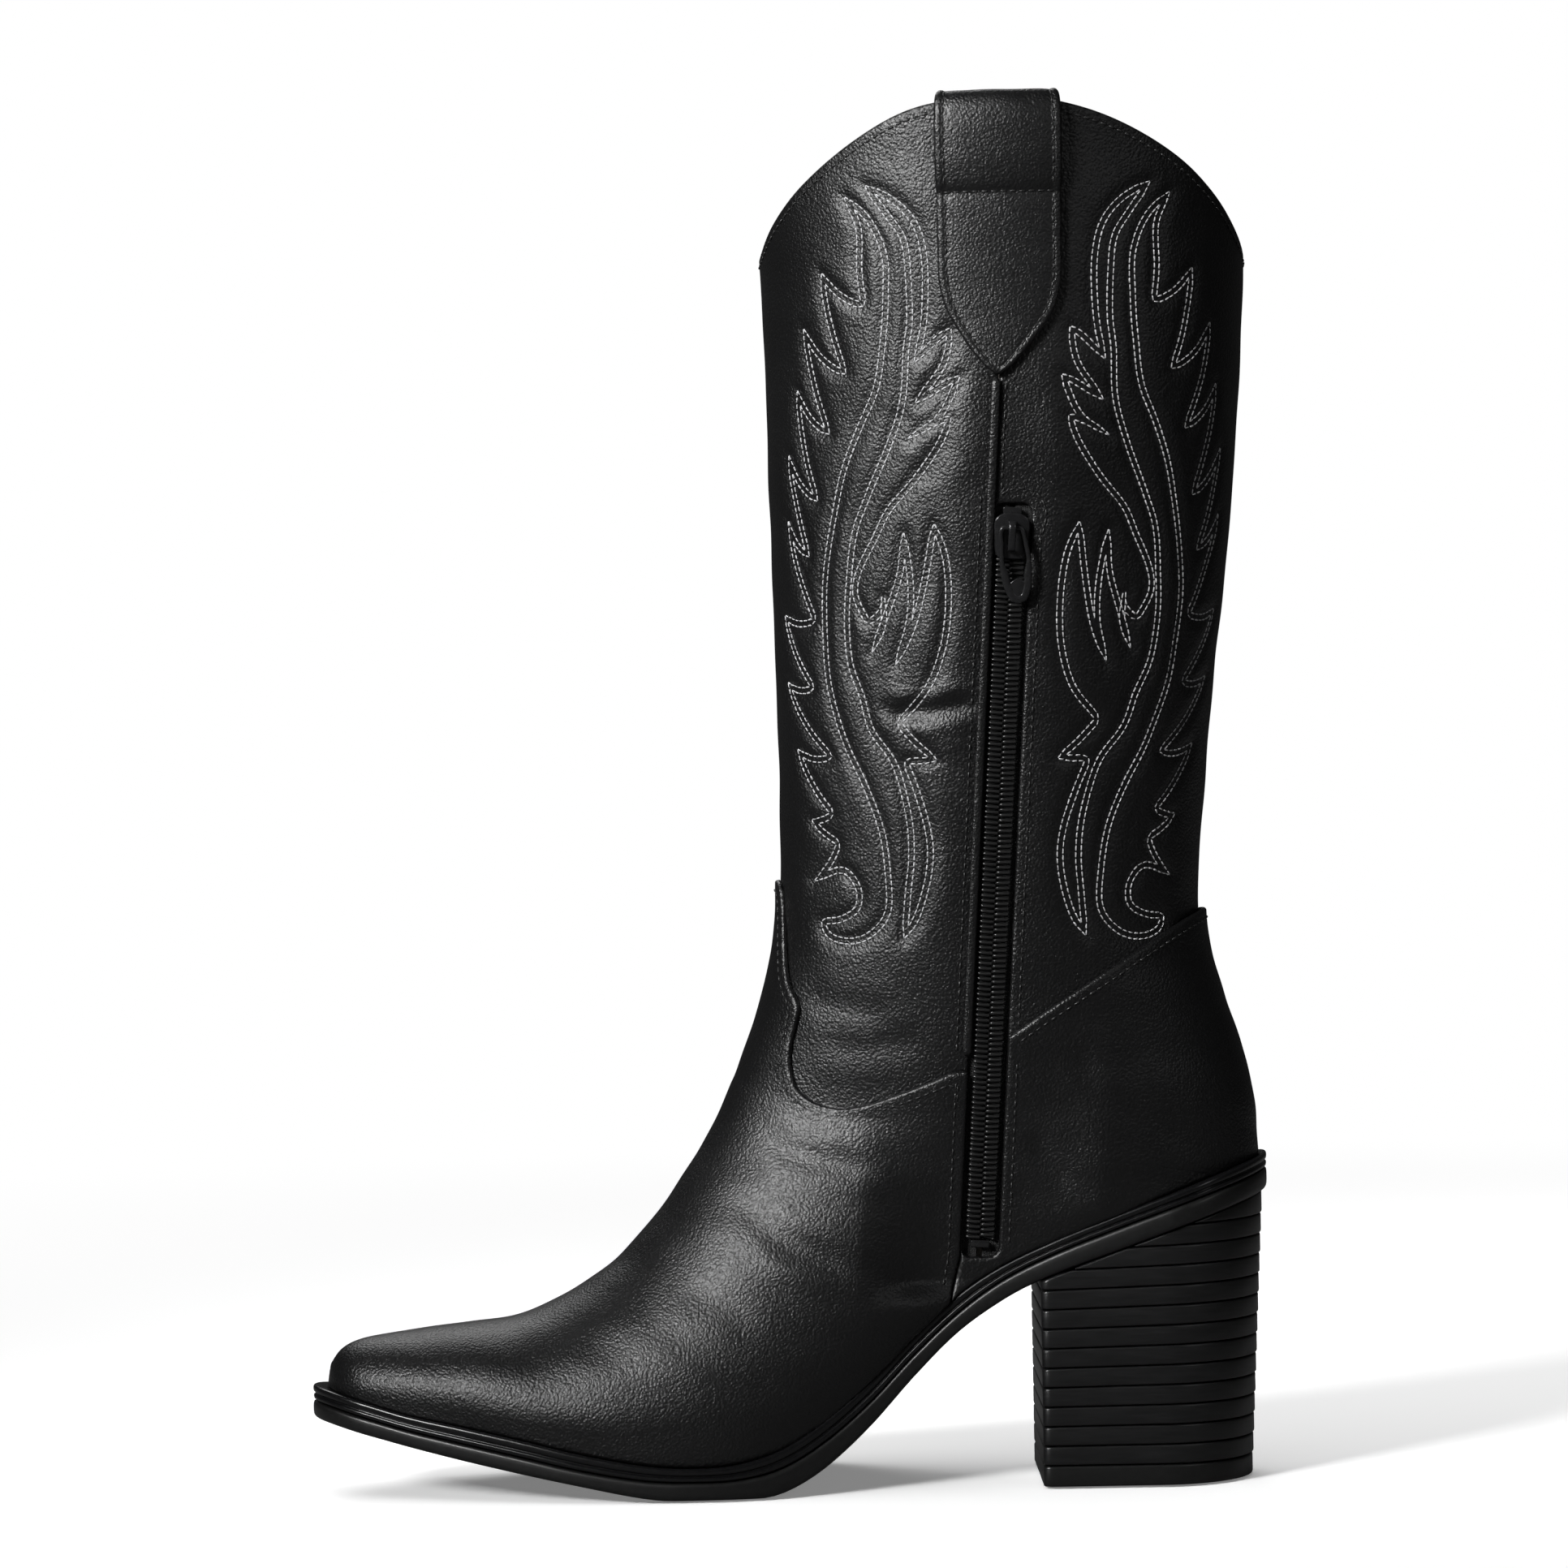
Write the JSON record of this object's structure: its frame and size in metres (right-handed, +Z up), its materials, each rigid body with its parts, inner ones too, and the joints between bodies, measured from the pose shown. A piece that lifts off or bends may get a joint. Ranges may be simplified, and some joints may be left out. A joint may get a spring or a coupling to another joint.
{
  "type": "cowboy boot",
  "caption": "Right-foot mid-calf western boot with a pointed toe, scalloped topline, pull straps, embroidered shaft, inner side zip and stacked block heel.",
  "frame": {"origin": "on the ground, within a millimetre of the middle of the heel's resting face", "axes": "+Z up, the shaft's length; -X towards the toe; -Y towards the inner side of the leg, where the zip is"},
  "size_m": [0.2665, 0.111, 0.3798],
  "materials": {
    "upper_leather": "black pebbled leather, soft sheen",
    "lining_cloth": "black textile lining, matt",
    "stiffener_board": "moulded toe puff and heel stiffener, hidden",
    "insole_board": "cellulose insole board, hidden",
    "cork": "granulated cork filler, hidden",
    "steel": "bright steel, hidden",
    "stacked_heel": "stacked heel lifts, painted black, satin",
    "sole_rubber": "black moulded rubber, satin",
    "zip_tape": "black woven zip tape",
    "zip_coil": "black nylon coil",
    "zip_metal": "black enamelled metal, glossy",
    "thread_grey": "grey embroidery thread",
    "thread_black": "black sewing thread"
  },
  "bodies": {
    "boot": {"cork_filler": "cork", "heel_counter": "upper_leather", "heel_lift_01": "stacked_heel", "heel_lift_02": "stacked_heel", "heel_lift_03": "stacked_heel", "heel_lift_04": "stacked_heel", "heel_lift_05": "stacked_heel", "heel_lift_06": "stacked_heel", "heel_lift_07": "stacked_heel", "heel_lift_08": "stacked_heel", "heel_lift_09": "stacked_heel", "heel_lift_10": "stacked_heel", "heel_lift_11": "stacked_heel", "heel_lift_12": "stacked_heel", "heel_lift_13": "stacked_heel", "heel_lining": "lining_cloth", "heel_nail_1": "steel", "heel_nail_2": "steel", "heel_nail_3": "steel", "heel_nail_4": "steel", "heel_screw": "steel", "heel_stiffener": "stiffener_board", "heel_top_piece": "sole_rubber", "insole_board": "insole_board", "outsole": "sole_rubber", "pull_strap_lateral": "upper_leather", "pull_strap_medial": "upper_leather", "shaft_back_panel": "upper_leather", "shaft_front_panel": "upper_leather", "shaft_lining_back": "lining_cloth", "shaft_lining_front": "lining_cloth", "side_welt_lateral": "upper_leather", "side_welt_medial": "upper_leather", "sock_lining": "lining_cloth", "steel_shank": "steel", "toe_puff": "stiffener_board", "vamp": "upper_leather", "vamp_backing": "lining_cloth", "vamp_lining": "lining_cloth", "welt": "sole_rubber", "zip_bottom_stop": "zip_metal", "zip_coil_back": "zip_coil", "zip_coil_front": "zip_coil", "zip_guard": "lining_cloth", "zip_tape_back": "zip_tape", "zip_tape_front": "zip_tape", "zip_top_stop": "zip_metal"},
    "slider": {"zip_slider": "zip_metal"},
    "pull": {"zip_pull": "zip_metal"}
  },
  "joints": [
    {"name": "zip_slide", "type": "slide", "parent": "boot", "child": "slider", "axis": [-0.0565, 0.1121, -0.9921], "range_m": [0, 0.185]},
    {"name": "pull_swing", "type": "hinge", "parent": "slider", "child": "pull", "pos_m": [-0.0343, -0.05173, 0.26163], "axis": [-0.9984, -0.0063, 0.0562], "range_deg": [0, 160]}
  ]
}
